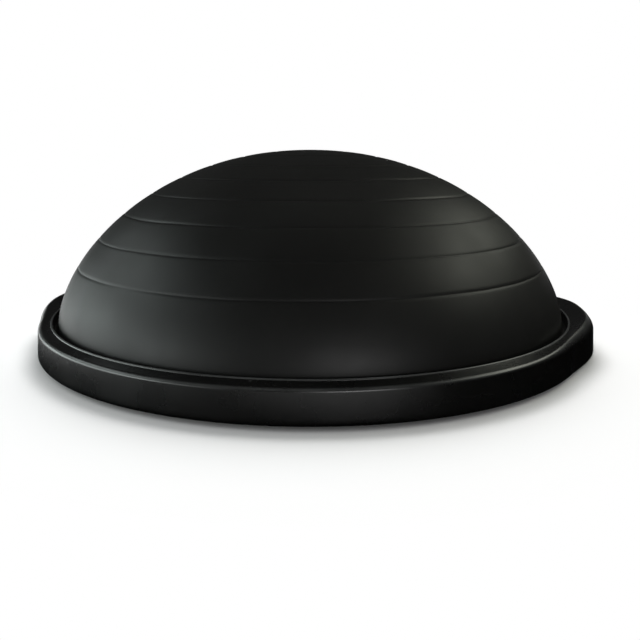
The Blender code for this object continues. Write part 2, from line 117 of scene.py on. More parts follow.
def mixColors(tree, share, first, second):    # a plain colour is given as its red, green and blue
    node = addNode(tree, "ShaderNodeMix", data_type="RGBA", blend_type="MIX")
    for index, value in ((0, share), (6, first), (7, second)):
        feed(tree, node.inputs[index], (*value, 1.0) if isinstance(value, tuple) else value)
    return out(node, 2)


def startTree(name, values):
    tree = bpy.data.node_groups.new(name, "GeometryNodeTree")
    kinds = {int: "NodeSocketInt", float: "NodeSocketFloat", bpy.types.Object: "NodeSocketObject"}
    for key, value in values.items():
        tree.interface.new_socket(key, in_out="INPUT", socket_type=kinds[type(value)])
    tree.interface.new_socket("Geometry", in_out="OUTPUT", socket_type="NodeSocketGeometry")
    entry = tree.nodes.new("NodeGroupInput")
    return tree, {key: Field(tree, entry.outputs[key]) for key in values}


def endTree(tree, geometry, finish):
    smooth = addNode(tree, "GeometryNodeSetShadeSmooth", {"Geometry": geometry})
    real = addNode(tree, "GeometryNodeRealizeInstances", {"Geometry": out(smooth)})
    painted = addNode(tree, "GeometryNodeSetMaterial", {"Geometry": out(real), "Material": finish})
    result = tree.nodes.new("NodeGroupOutput")
    tree.links.new(painted.outputs[0], result.inputs[0])


def newPiece(name, data):
    piece = bpy.data.objects.new(name, data)
    bpy.context.scene.collection.objects.link(piece)
    return piece


def meshFrom(shape, name):    # what a bmesh holds, as a mesh
    mesh = bpy.data.meshes.new(name)
    shape.to_mesh(mesh)
    shape.free()
    return mesh


def faceOutwards(mesh):
    shape = bmesh.new()
    shape.from_mesh(mesh)
    bmesh.ops.recalc_face_normals(shape, faces=shape.faces)
    shape.to_mesh(mesh)
    shape.free()


def shadeSmooth(mesh):
    mesh.shade_smooth()
    mesh.set_sharp_from_angle(angle=math.radians(sharpAngle))


def bakePiece(piece):    # turns what the modifiers make into the piece's own mesh
    bpy.context.view_layer.update()
    graph = bpy.context.evaluated_depsgraph_get()
    mesh = bpy.data.meshes.new_from_object(piece.evaluated_get(graph))
    piece.modifiers.clear()
    piece.data = mesh


def growPiece(name, tree, values):
    piece = newPiece(name, bpy.data.meshes.new(name))
    live = piece.modifiers.new("grow", "NODES")
    live.node_group = tree
    for item in tree.interface.items_tree:
        if item.in_out == "INPUT":
            live[item.identifier] = values[item.name]
    bakePiece(piece)
    return piece


def cutPiece(piece, cutter):
    cut = piece.modifiers.new("cut", "BOOLEAN")
    cut.operation = "DIFFERENCE"
    cut.solver = "EXACT"
    cut.object = cutter
    bakePiece(piece)
    bpy.data.objects.remove(cutter)


def between(steps):    # the shares of a stretch that lie between its two ends
    return [i / steps for i in range(1, steps)]


def arc(centreX, centreZ, radius, start, end, steps):    # angles in degrees, 0 towards +X
    turns = [math.radians(start + (end - start) * i / steps) for i in range(steps + 1)]
    return [(centreX + radius * math.cos(a), centreZ + radius * math.sin(a)) for a in turns]


def turnProfile(name, profile, steps, place=Matrix.Identity(4), ring=False):
    # spins (radius, height) points round Z; a point on the axis becomes one vertex
    shape = bmesh.new()
    turns = [2 * math.pi * i / steps for i in range(steps)]
    spokes = [(math.cos(a), math.sin(a)) for a in turns]
    rows = []
    for radius, height in profile:
        if radius == 0:
            rows.append([shape.verts.new((0, 0, height))] * steps)
        else:
            rows.append([shape.verts.new((radius * x, radius * y, height)) for x, y in spokes])
    pairs = list(zip(rows, rows[1:])) + ([(rows[-1], rows[0])] if ring else [])
    for lower, upper in pairs:
        for i in range(steps):
            j = (i + 1) % steps
            corners = list(dict.fromkeys((lower[i], lower[j], upper[j], upper[i])))
            if len(corners) > 2:
                shape.faces.new(corners)
    bmesh.ops.recalc_face_normals(shape, faces=shape.faces)
    shape.transform(place)
    mesh = meshFrom(shape, name)
    shadeSmooth(mesh)
    return newPiece(name, mesh)


def ridePiece(piece, body, slotName, *nodes):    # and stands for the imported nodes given
    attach(piece, body)
    if nodes:
        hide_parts(*nodes)


# Surfaces. Each look is mixed from its own colours, patches, grain and marks on Object coordinates. The rim's
# wear mark is partly a painted highlight.

looks = {
    "domeRubber": {"dark": (0.0048, 0.0048, 0.0044), "light": (0.0070, 0.0070, 0.0064), "patches": 7.0,
                   "roughness": (0.42, 0.50), "roughPatches": 16.0, "specular": 0.46,
                   "grain": 1500.0, "grainHeight": 0.00003, "swell": 11.0, "swellHeight": 0.0006,
                   "speckSize": 0.050, "speckShare": 0.10, "speckColor": (0.17, 0.17, 0.16)},
    "rimVinyl": {"dark": (0.0012, 0.0012, 0.0012), "light": (0.0024, 0.0024, 0.0022), "patches": 11.0,
                 "roughness": (0.25, 0.31), "roughPatches": 26.0, "specular": 0.95,
                 "grain": 900.0, "grainHeight": 0.000003, "swell": 14.0, "swellHeight": 0.00015,
                 # the rim's pale wear colour also paints a highlight line along its edge and lip
                 "wearAndHighlightColor": (0.100, 0.105, 0.103), "wearAndHighlightRoughness": 0.05,
                 "speckSize": 0.045, "speckShare": 0.10, "speckColor": (0.09, 0.09, 0.09)},
    "panPlastic": {"dark": (0.0095, 0.0095, 0.0098), "light": (0.0150, 0.0150, 0.0150), "patches": 9.0,
                   "roughness": (0.42, 0.58), "roughPatches": 30.0, "specular": 0.45,
                   "grain": 2200.0, "grainHeight": 0.00001, "pebbles": 620.0, "pebbleHeight": 0.00006,
                   "scuffs": 0.35, "scuffColor": (0.040, 0.040, 0.040)},
    "deckPlastic": {"dark": (0.010, 0.010, 0.010), "light": (0.017, 0.017, 0.017), "patches": 6.0,
                    "roughness": (0.48, 0.60), "roughPatches": 22.0, "specular": 0.40,
                    "grain": 900.0, "grainHeight": 0.00003},
    "sheetRubber": {"dark": (0.022, 0.022, 0.023), "light": (0.036, 0.036, 0.036), "patches": 8.0,
                    "roughness": (0.50, 0.62), "roughPatches": 20.0, "specular": 0.40,
                    "grain": 1100.0, "grainHeight": 0.00004},
    "footRubber": {"dark": (0.007, 0.007, 0.007), "light": (0.014, 0.014, 0.014), "patches": 60.0,
                   "roughness": (0.66, 0.82), "roughPatches": 90.0, "specular": 0.35,
                   "grain": 1600.0, "grainHeight": 0.00006,
                   "scuffs": 0.5, "scuffColor": (0.055, 0.053, 0.050)},
    "screwZinc": {"dark": (0.30, 0.30, 0.31), "light": (0.46, 0.46, 0.45), "patches": 220.0,
                  "roughness": (0.24, 0.42), "roughPatches": 400.0, "specular": 0.5, "metallic": 1.0,
                  "grain": 3000.0, "grainHeight": 0.00001},
    "plugPlastic": {"dark": (0.56, 0.56, 0.53), "light": (0.66, 0.66, 0.63), "patches": 90.0,
                    "roughness": (0.34, 0.46), "roughPatches": 160.0, "specular": 0.48,
                    "grain": 2400.0, "grainHeight": 0.00002},
}
markSizes = {
    "scuffTurn": 0.7,           # the rubs are turned round Z by this, and drawn out by unequal scales
    "scuffScale": (24.0, 420.0, 60.0),
    "scuffFrom": 0.62,          # noise from here on is a rub, in places where slower noise is over wornFrom
    "scuffContrast": 9.0,
    "scuffRoughness": 0.12,
    "wornScale": 13.0,
    "wornFrom": 0.45,
    "wornContrast": 4.0,
    "speckScale": 42.0,         # cells to a metre, some of which hold a speck of dust
    "speckCover": 0.8,
    "speckRoughness": 0.3,
    "wearAndHighlightScale": 34.0,          # patches that take the wear and painted highlight down, to the share on the next line at most
    "wearAndHighlightLeast": 0.55,
}
noiseSpan = (0.3, 0.7)    # where nearly all of a noise's values lie


def noiseAt(tree, place, scale, detail):
    noise = addNode(tree, "ShaderNodeTexNoise", {"Vector": place, "Scale": scale, "Detail": detail})
    return out(noise, "Fac")


def spread(field, low, high):    # noise as an even spread of values
    return field.ramp(*noiseSpan) * (high - low) + low


def bumpOver(tree, height, distance, below=None):
    slots = {"Height": height, "Distance": distance, "Strength": 1.0}
    if below is not None:
        slots["Normal"] = below
    return out(addNode(tree, "ShaderNodeBump", slots))


def addScuffs(tree, place, look, color, roughness):    # long thin rubs
    s = markSizes
    drawn = out(addNode(tree, "ShaderNodeMapping", {
        "Vector": place, "Rotation": (0.0, 0.0, s["scuffTurn"]), "Scale": s["scuffScale"]}))
    rub = ((noiseAt(tree, drawn, 1.0, 2.0) - s["scuffFrom"]) * s["scuffContrast"]).clamp(0.0, 1.0)
    worn = (noiseAt(tree, place, s["wornScale"], 2.0) - s["wornFrom"]).clamp(0.0, 1.0) * s["wornContrast"]
    mark = (rub * worn * look["scuffs"]).clamp(0.0, 1.0)
    return mixColors(tree, mark, color, look["scuffColor"]), roughness + mark * s["scuffRoughness"]


def addSpecks(tree, place, look, color, roughness):    # dust that has settled here and there
    s = markSizes
    cells = addNode(tree, "ShaderNodeTexVoronoi", {"Vector": place, "Scale": s["speckScale"]})
    chosen = partsOf(tree, out(cells, "Color"))[0].calc("LESS_THAN", look["speckShare"])
    speck = out(cells, "Distance").calc("LESS_THAN", look["speckSize"]) * chosen
    color = mixColors(tree, speck * s["speckCover"], color, look["speckColor"])
    return color, roughness + speck * s["speckRoughness"]


def addWearAndHighlight(tree, place, look, color, roughness):    # the mesh's own wear and painted highlight value, broken up
    s = markSizes
    wearAndHighlight = out(addNode(tree, "ShaderNodeAttribute", attribute_name="wearAndHighlight"), "Fac")
    wearAndHighlight = wearAndHighlight * spread(noiseAt(tree, place, s["wearAndHighlightScale"], 4.0), s["wearAndHighlightLeast"], 1.0)
    return mixColors(tree, wearAndHighlight, color, look["wearAndHighlightColor"]), roughness + wearAndHighlight * look["wearAndHighlightRoughness"]


def makeRelief(tree, place, look):    # slow swells, then pebbles, then fine grain
    normal = None
    if "swell" in look:
        normal = bumpOver(tree, noiseAt(tree, place, look["swell"], 1.0), look["swellHeight"])
    if "pebbles" in look:
        cells = addNode(tree, "ShaderNodeTexVoronoi", {"Vector": place, "Scale": look["pebbles"]},
                        feature="SMOOTH_F1")
        normal = bumpOver(tree, -out(cells, "Distance"), look["pebbleHeight"], normal)
    return bumpOver(tree, noiseAt(tree, place, look["grain"], 2.0), look["grainHeight"], normal)


def makeFinish(name, look):
    finish = bpy.data.materials.new(name)
    finish.use_nodes = True
    tree = finish.node_tree
    shader = tree.nodes["Principled BSDF"]
    place = out(addNode(tree, "ShaderNodeTexCoord"), "Object")
    patches = spread(noiseAt(tree, place, look["patches"], 5.0), 0.0, 1.0)
    color = mixColors(tree, patches, look["dark"], look["light"])
    roughness = spread(noiseAt(tree, place, look["roughPatches"], 4.0), *look["roughness"])
    for key, addMark in (("scuffs", addScuffs), ("speckShare", addSpecks), ("wearAndHighlightColor", addWearAndHighlight)):
        if key in look:
            color, roughness = addMark(tree, place, look, color, roughness)
    feed(tree, shader.inputs["Base Color"], color)
    feed(tree, shader.inputs["Roughness"], roughness)
    feed(tree, shader.inputs["Normal"], makeRelief(tree, place, look))
    shader.inputs["Specular IOR Level"].default_value = look["specular"]
    shader.inputs["Metallic"].default_value = look.get("metallic", 0.0)
    return finish


finishes = {name: makeFinish(name, look) for name, look in looks.items()}
print("surfaces mixed:", len(finishes))


# Dome: one moulded rubber skin whose section follows two powers, with creased grip rings

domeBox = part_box("dome_skin")
domeSizes = {
    "baseRadius": 0.2985,
    "baseHeight": 0.0382,
    "crownHeight": domeBox[1].z,
    "sidePower": 2.066,
    "crownPower": 1.627,
    "filletRadius": 0.003,
    "flangeTop": 0.0296,
    "flangeReach": domeBox[1].x,
    "grooveStart": 0.066,       # along the surface, from the dome's foot to the first ring
    "groovePitch": 0.0395,
    "grooveCount": 8,
    "grooveWidth": 0.0011,
    "grooveDepth": 0.00062,     # times slow noise, from depthLeast up to depthSpan more
    "depthLeast": 0.4,
    "depthSpan": 1.2,
    "depthScale": 9.0,
    "grooveWander": 0.0022,     # how far a ring strays from its true circle
    "wanderScale": 14.0,
    "bandSwell": 0.00012,       # how far the rubber bulges between two rings
    "lumps": 0.0005,
    "lumpScale": 5.0,
    "calmFoot": 0.03,           # the skin is plain this far up from its foot
    "crowding": 0.8,            # how much the rows of faces crowd together at a ring, 0 to 1
    "spareBand": 0.25,          # spare rows at both ends, in bands, that close up on foot and crown
    "stepsPerBand": 14,
    "stepsRound": 240,
    "footSteps": 12,
    "seed": 4.0,
}
domeWall = 0.004
sectionPoints = 600
mergeWithin = 0.00002


def domeSection(tree, size):    # a curve from the dome's foot up to its crown
    line = addNode(tree, "GeometryNodeMeshLine", {"Count": sectionPoints}, mode="OFFSET")
    turn = out(addNode(tree, "GeometryNodeInputIndex")) * (math.pi / 2 / (sectionPoints - 1))
    sideShare = size["sidePower"].calc("POWER", -1.0) * 2.0
    crownShare = size["crownPower"].calc("POWER", -1.0) * 2.0
    across = turn.calc("COSINE").calc("MAXIMUM", 0.0).calc("POWER", sideShare) * size["baseRadius"]
    rise = turn.calc("SINE").calc("POWER", crownShare) * (size["crownHeight"] - size["baseHeight"])
    bent = addNode(tree, "GeometryNodeSetPosition", {
        "Geometry": out(line), "Position": vectorOf(tree, across, 0.0, size["baseHeight"] + rise)})
    return out(addNode(tree, "GeometryNodeMeshToCurve", {"Mesh": out(bent)}))


def domeFoot(size, share):    # across and up, along the clamped flange, the fillet and the upright foot
    flangeEnd, filletEnd = 0.25, 0.75    # as shares of the foot's rows
    fillet = size["filletRadius"]
    corner = size["baseRadius"] + fillet
    flange = (size["flangeReach"] - corner) * (-share.ramp(0.0, flangeEnd) + 1.0)
    bend = share.ramp(flangeEnd, filletEnd) * (math.pi / 2)
    upright = share.ramp(filletEnd, 1.0) * (size["baseHeight"] - size["flangeTop"] - fillet)
    across = corner - bend.calc("SINE") * fillet + flange
    return across, size["flangeTop"] + fillet - bend.calc("COSINE") * fillet + upright


def domeSkin(tree, size, section, length, band, angle):    # across and up, with the rings pressed in
    along = (size["grooveStart"] + band * size["groovePitch"]).clamp(0.0, length)
    sample = addNode(tree, "GeometryNodeSampleCurve", {"Curves": section, "Length": along},
                     mode="LENGTH", data_type="FLOAT")
    across, _, up = partsOf(tree, out(sample, "Position"))
    leanAcross, _, leanUp = partsOf(tree, out(sample, "Tangent"))
    spot = vectorOf(tree, across * angle.calc("COSINE"), across * angle.calc("SINE"), up + size["seed"])

    lastRing = size["grooveCount"] - 1.0
    ring = band.calc("ROUND").clamp(0.0, lastRing)
    stray = (noiseAt(tree, spot, size["wanderScale"], 2.0) - 0.5) * size["grooveWander"]
    offRing = ((band - ring) * size["groovePitch"] + stray) / size["grooveWidth"]
    crease = (-(offRing * offRing)).calc("EXPONENT") * size["grooveDepth"]
    crease = crease * (noiseAt(tree, spot, size["depthScale"], 1.0) * size["depthSpan"] + size["depthLeast"])
    wave = (band.clamp(0.0, lastRing) * (2 * math.pi)).calc("COSINE")
    swell = (wave * -0.5 + 0.5) * size["bandSwell"]
    lump = noiseAt(tree, spot, size["lumpScale"], 1.0) * size["lumps"]
    push = (swell - crease - lump) * (along / size["calmFoot"]).clamp(0.0, 1.0)
    return across + leanUp * push, up - leanAcross * push


def makeDomeTree(values, finish):
    tree, size = startTree("gripDome", values)
    section = domeSection(tree, size)
    length = out(addNode(tree, "GeometryNodeCurveLength", {"Curve": section}))

    # a flat grid that becomes the skin: X runs round the dome, Y runs up it
    firstBand = -(size["grooveStart"] / size["groovePitch"]) - size["spareBand"]
    lastBand = (length - size["grooveStart"]) / size["groovePitch"] + size["spareBand"]
    rows = ((lastBand - firstBand) * size["stepsPerBand"]).calc("ROUND") + size["footSteps"]
    grid = addNode(tree, "GeometryNodeMeshGrid", {
        "Size X": 1.0, "Size Y": 1.0, "Vertices X": size["stepsRound"] + 1, "Vertices Y": rows + 1})
    gridX, gridY, _ = partsOf(tree, out(addNode(tree, "GeometryNodeInputPosition")))
    angle = (gridX + 0.5) * (2 * math.pi)
    row = (gridY + 0.5) * rows

    # the rows above the foot, counted in bands from the first ring, crowd together near each ring
    band = firstBand + (lastBand - firstBand) * row.ramp(size["footSteps"], rows)
    band = band - (band * (2 * math.pi)).calc("SINE") * size["crowding"] / (2 * math.pi)
    onDome = row.calc("GREATER_THAN", size["footSteps"])
    foot = domeFoot(size, (row / size["footSteps"]).clamp(0.0, 1.0))
    skin = domeSkin(tree, size, section, length, band, angle)
    across, up = [low + (high - low) * onDome for low, high in zip(foot, skin)]
    spot = vectorOf(tree, across * angle.calc("COSINE"), across * angle.calc("SINE"), up)
    moved = addNode(tree, "GeometryNodeSetPosition", {"Geometry": out(grid), "Position": spot})
    merged = addNode(tree, "GeometryNodeMergeByDistance", {"Geometry": out(moved), "Distance": mergeWithin})
    endTree(tree, out(merged), finish)
    return tree


def makeDome():
    tree = makeDomeTree(domeSizes, finishes["domeRubber"])
    dome = growPiece("dome", tree, domeSizes)
    faceOutwards(dome.data)
    wall = dome.modifiers.new("wall", "SOLIDIFY")
    wall.thickness = domeWall
    wall.offset = -1.0
    bakePiece(dome)
    return dome


dome = makeDome()
print("dome grown:", len(dome.data.polygons), "faces")


# Port and plug: a collar moulded in the dome near its foot, at the back, and the stopper pushed into it

portSizes = {
    "alongDome": 0.034,         # where the port is, along the surface from the dome's foot
    "bore": 0.0045,
    "holeSpare": 0.002,         # how much wider than the bore the skin is cut
    "holeEnds": (-0.02, 0.01),
    "neck": 0.009,
    "neckEnd": -0.012,          # heights are taken along the port's axis, from the dome's surface
    "collar": 0.0125,
    "collarHeight": 0.0014,
    "collarSlope": 0.0022,      # how far in from its edge the collar starts to fall
    "collarRound": 0.0012,
    "collarEdge": (-0.0003, -0.0018),    # the heights between which its edge is upright
    "mouthRound": 0.0006,
}
plugSizes = {
    "gap": 0.0003,
    "head": 0.0082,
    "headThickness": 0.0026,
    "headRound": 0.0011,
    "headUnder": 0.0012,        # how much narrower the head is below
    "dishDepth": 0.0009,        # of the hollow in the head, with the radii of its floor and its edge
    "dishFloor": 0.0022,
    "dishEdge": 0.0040,
    "dishRound": 0.0005,
    "stem": 0.0042,
    "stemLength": 0.016,
    "stemFlare": 0.0006,
    "ribs": 3,
    "ribDepth": 0.0006,
    "ribRound": 0.0005,
    "tipTaper": 0.0012,
    "tipRound": 0.0010,
}


def placeOnDome(distance):    # across and up, this far along the dome's section from its foot
    s = domeSizes
    steps = 400
    here = (s["baseRadius"], s["baseHeight"])
    for i in range(1, steps):
        turn = math.pi / 2 * i / steps
        rise = (s["crownHeight"] - s["baseHeight"]) * math.sin(turn) ** (2 / s["crownPower"])
        there = (s["baseRadius"] * math.cos(turn) ** (2 / s["sidePower"]), s["baseHeight"] + rise)
        run = math.dist(here, there)
        if run > distance:
            break
        distance -= run
        here = there
    return [a + (b - a) * distance / run for a, b in zip(here, there)]


def portMatrix():    # at the dome's surface, with Z the way that the plug comes out
    outward = Vector(frame["joints"][0]["axis"]).normalized()
    sideways = Vector((1.0, 0.0, 0.0))
    turn = Matrix((sideways, outward.cross(sideways), outward)).transposed()
    across, up = placeOnDome(portSizes["alongDome"])
    return Matrix.Translation((0.0, across, up)) @ turn.to_4x4()


def makePort(dome):
    s = portSizes
    low, high = s["holeEnds"]
    wide = s["bore"] + s["holeSpare"]
    hole = [(0, low), (wide, low), (wide, high), (0, high)]
    cutPiece(dome, turnProfile("portHole", hole, 32, portMatrix()))
    top, mouth, edge = s["collarHeight"], s["mouthRound"], s["collarRound"]
    edgeTop, edgeLow = s["collarEdge"]
    profile = [(s["bore"], s["neckEnd"] + mouth), (s["bore"], top - mouth)]
    profile += arc(s["bore"] + mouth, top - mouth, mouth, 180, 90, 4)
    profile += arc(s["collar"] - s["collarSlope"], top - edge, edge, 90, 30, 5)
    profile += [(s["collar"], edgeTop), (s["collar"], edgeLow)]
    profile += [(s["neck"], edgeLow), (s["neck"], s["neckEnd"])]
    collar = turnProfile("portCollar", profile, 48, portMatrix(), ring=True)
    collar.data.materials.append(finishes["domeRubber"])
    return collar


def makePlug():
    s = plugSizes
    low = portSizes["collarHeight"] + s["gap"]
    high = low + s["headThickness"]
    core = s["stem"] - s["ribDepth"]
    dish, edge, rib, tip = s["dishRound"], s["headRound"], s["ribRound"], s["tipRound"]
    profile = [(0, high - s["dishDepth"])]
    profile += arc(s["dishFloor"], high - s["dishDepth"] + dish, dish, -90, 30, 3)
    profile += arc(s["dishEdge"], high - dish, dish, 120, 80, 3)
    profile += arc(s["head"] - edge, high - edge, edge, 80, -60, 8)
    profile += [(s["head"] - s["headUnder"], low), (core + s["stemFlare"], low), (core, low - s["stemFlare"])]
    pitch = s["stemLength"] / (s["ribs"] + 1)
    for i in range(1, s["ribs"] + 1):
        middle = low - i * pitch
        profile.append((core, middle + pitch / 4))
        profile += arc(s["stem"] - rib, middle, rib, 70, -70, 5)
        profile.append((core, middle - pitch / 4))
    end = low - s["stemLength"]
    profile += arc(core - s["tipTaper"], end + tip, tip, 0, -90, 4) + [(0, end)]
    piece = turnProfile("pushPlug", profile, 48, portMatrix())
    piece.data.materials.append(finishes["plugPlastic"])
    return piece


collar = makePort(dome)
ridePiece(dome, trainerBody, "dome_black", "dome_skin")
ridePiece(collar, trainerBody, "dome_black")
ridePiece(makePlug(), plugBody, "plug_white", "valve_plug")
print("port and plug made")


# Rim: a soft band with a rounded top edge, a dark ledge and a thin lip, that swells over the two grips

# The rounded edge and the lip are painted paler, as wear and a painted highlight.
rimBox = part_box("rim_ring")
rimSizes = {
    "radius": rimBox[1].y,      # where the band is plain; the ears are on X
    "bottom": rimBox[0].z,
    "inner": 0.315,
    "innerRound": 0.0008,
    "lipInner": 0.3045,
    "webBottom": 0.0299,
    "edgeTop": 0.0371,
    "edgeRound": 0.0038,
    "bottomRound": 0.004,
    "lipTop": 0.0403,
    "lipWidth": 0.0028,
    "lipFrom": 8.0,             # the lip's bead starts this steep on its outer side, in degrees
    "faceDraft": 0.0011,        # how far the band's face leans in by its upper edge
    "ledgeSag": 0.0002,
    "earBulge": rimBox[1].x - rimBox[1].y,
    "bulgeHalf": 26.0,          # half an ear's width in degrees, and the share of it at full height
    "bulgeFlat": 0.2,
    "earRise": 0.0097,
    "riseHalf": 43.0,
    "riseFlat": 0.0,
    "earEdgeRound": 0.0190,
    "crestRound": 0.0050,       # the tighter bend along the crest of the edge
    "crestFrom": 53.0,          # where round the edge that bend starts and ends, in degrees
    "crestTo": 80.0,
    "edgeWearAndHighlight": 0.34,           # how pale the rounded edge is painted: wear and a painted highlight
    "wearAndHighlightInFront": 0.42,        # where up its bend the painted highlight is brightest, in front and on the ears
    "wearAndHighlightOnEars": 0.66,
    "wearAndHighlightReach": 0.22,
    "wearAndHighlightHalf": 70.0,
    "wearAndHighlightFlat": 0.3,
    # the lip is painted pale too, as wear and a painted highlight line
    "lipWearAndHighlight": 0.5,
    "lipWearAndHighlightSteps": 6,
    "faceSteps": 8,
    "ledgeSteps": 7,
    "stepsRound": 480,
}


def earShare(turn, halfAngle, flat):
    away = abs(math.remainder(turn, math.pi))
    half = math.radians(halfAngle)
    share = min(max((half - away) / (half * (1 - flat)), 0.0), 1.0)
    return share * share * (3 - 2 * share)


def rimSection(turn):    # (radius, height, wear and painted highlight) round the section
    s = rimSizes
    risen = earShare(turn, s["riseHalf"], s["riseFlat"])
    outer = s["radius"] + s["earBulge"] * earShare(turn, s["bulgeHalf"], s["bulgeFlat"])
    edgeRound = s["edgeRound"] + (s["earEdgeRound"] - s["edgeRound"]) * risen
    shift = edgeRound - s["crestRound"]
    bend = math.radians(s["crestFrom"])
    low = s["bottom"] + s["bottomRound"]
    high = s["edgeTop"] + s["earRise"] * risen - s["crestRound"] - shift * math.sin(bend)
    corner = s["innerRound"]
    points = [(s["inner"], s["webBottom"])]
    points += arc(s["inner"] + corner, s["bottom"] + corner, corner, 180, 270, 3)
    points += arc(outer - s["bottomRound"], low, s["bottomRound"], 270, 360, 8)
    points += [(outer - s["faceDraft"] * i, low + (high - low) * i) for i in between(s["faceSteps"])]
    bendStart = len(points)
    middle = outer - s["faceDraft"] - edgeRound
    points += arc(middle, high, edgeRound, 0, s["crestFrom"], 9)
    points += arc(middle + shift * math.cos(bend), high + shift * math.sin(bend), s["crestRound"],
                  s["crestFrom"], s["crestTo"], 7)[1:]
    bendEnd = len(points)
    half = s["lipWidth"] / 2
    lip = arc(s["lipInner"] + half, s["lipTop"] - half, half, s["lipFrom"], 180, 10)
    (startX, startZ), (endX, endZ) = points[-1], lip[0]
    for i in between(s["ledgeSteps"]):
        sag = s["ledgeSag"] * math.sin(math.pi * i)
        points.append((startX + (endX - startX) * i, startZ + (endZ - startZ) * i - sag))
    lipStart = len(points)
    points += lip + [(s["lipInner"], s["webBottom"])]

    # the pale mark along the bend and on the lip: wear and a painted highlight
    wearAndHighlight = [0.0] * len(points)
    onEars = earShare(turn, s["wearAndHighlightHalf"], s["wearAndHighlightFlat"])
    wearAndHighlightAt = s["wearAndHighlightInFront"] + (s["wearAndHighlightOnEars"] - s["wearAndHighlightInFront"]) * onEars
    for i in range(bendStart, bendEnd):
        along = (i - bendStart) / (bendEnd - bendStart - 1)
        wearAndHighlight[i] = s["edgeWearAndHighlight"] * math.exp(-((along - wearAndHighlightAt) / s["wearAndHighlightReach"]) ** 2)
    for i in range(s["lipWearAndHighlightSteps"]):
        wearAndHighlight[lipStart + 1 + i] = s["lipWearAndHighlight"]
    return [(r, z, w) for (r, z), w in zip(points, wearAndHighlight)]


def makeRim():
    steps = rimSizes["stepsRound"]
    count = len(rimSection(0.0))
    corners, faces, wearAndHighlight = [], [], []
    for i in range(steps):
        turn = 2 * math.pi * i / steps
        # worn holds each point's wear and painted highlight
        for radius, height, worn in rimSection(turn):
            corners.append((radius * math.cos(turn), radius * math.sin(turn), height))
            wearAndHighlight.append(worn)
        here, there = i * count, (i + 1) % steps * count
        for k in range(count):
            after = (k + 1) % count
            faces.append((here + k, there + k, there + after, here + after))
    mesh = bpy.data.meshes.new("rim")
    mesh.from_pydata(corners, [], faces)
    mesh.attributes.new("wearAndHighlight", "FLOAT", "POINT").data.foreach_set("value", wearAndHighlight)
    faceOutwards(mesh)
    mesh.materials.append(finishes["rimVinyl"])
    shadeSmooth(mesh)
    return newPiece("rim", mesh)


rim = makeRim()
ridePiece(rim, trainerBody, "rim_black", "rim_ring")
print("rim made:", len(rim.data.polygons), "faces")


# Feet and screws: one of each is made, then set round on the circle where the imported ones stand

ringDraws = {    # how far each copy is turned at random, in radians, and the seed of the draw
    "feet": {"spin": 0.0, "seed": 1},
    "rimScrews": {"spin": 6.28, "seed": 3},
    "deckScrews": {"spin": 6.28, "seed": 8},
}
footSizes = {
    "radius": 0.0130,
    "thickness": 0.0037,
    "soleRound": 0.0010,
    "topRound": 0.0006,
    "groovesAt": (0.0034, 0.0076),
    "grooveWidth": 0.0020,
    "grooveDepth": 0.0006,
    "grooveSlope": 0.0004,
    "spigot": 0.0050,
    "spigotTaper": 0.0010,
}
screwSizes = {
    "head": 0.0036,
    "headHeight": 0.0022,
    "headRound": 0.0012,
    "crown": 0.0018,            # radius of the head's flat middle, then of its bend, and where that ends
    "crownRound": 0.0013,
    "crownTurn": -75,
    "shank": 0.0019,
    "tip": 0.0006,
    "tipLength": 0.0015,
    "recessMouth": (0.0021, 0.00042, -0.0006),    # a bar's half length, half width and height there
    "recessFloor": (0.0013, 0.00028, 0.0014),
    "recessAngle": 40.0,        # in place of sharpAngle
}


def makeRingTree(values, finish):
    tree, size = startTree("setRound", values)
    circle = addNode(tree, "GeometryNodeMeshCircle", {"Vertices": size["count"], "Radius": size["radius"]},
                     fill_type="NONE")
    placed = addNode(tree, "GeometryNodeTransform", {
        "Geometry": out(circle), "Translation": vectorOf(tree, z=size["height"]),
        "Rotation": vectorOf(tree, z=size["turn"])})
    spin = addNode(tree, "FunctionNodeRandomValue", {"Seed": size["seed"]}, data_type="FLOAT")
    source = addNode(tree, "GeometryNodeObjectInfo", {"Object": size["source"]})
    copies = addNode(tree, "GeometryNodeInstanceOnPoints", {
        "Points": out(placed), "Instance": out(source, "Geometry"),
        "Rotation": vectorOf(tree, z=out(spin, 1) * size["spin"])})
    endTree(tree, out(copies), finish)
    return tree


def makeFoot(length):
    s = footSizes
    width, depth, slope = s["grooveWidth"], s["grooveDepth"], s["grooveSlope"]
    profile = [(0, 0)]
    for start in s["groovesAt"]:
        profile += [(start, 0), (start + slope, depth), (start + width - slope, depth), (start + width, 0)]
    profile += arc(s["radius"] - s["soleRound"], s["soleRound"], s["soleRound"], -90, 0, 4)
    profile += arc(s["radius"] - s["topRound"], s["thickness"] - s["topRound"], s["topRound"], 0, 90, 4)
    profile += [(s["spigot"], s["thickness"]), (s["spigot"], length - s["spigotTaper"]),
                (s["spigot"] - s["spigotTaper"], length), (0, length)]
    return turnProfile("footSource", profile, 48)


def makeRecess(turn):    # one bar of the cross, narrower at its floor
    shape = bmesh.new()
    bmesh.ops.create_cube(shape, size=1.0)
    for corner in shape.verts:
        reach, across, height = screwSizes["recessFloor" if corner.co.z > 0 else "recessMouth"]
        corner.co = (math.copysign(reach, corner.co.x), math.copysign(across, corner.co.y), height)
    bmesh.ops.rotate(shape, verts=shape.verts, matrix=Matrix.Rotation(turn, 3, "Z"))
    return newPiece("recess", meshFrom(shape, "recess"))


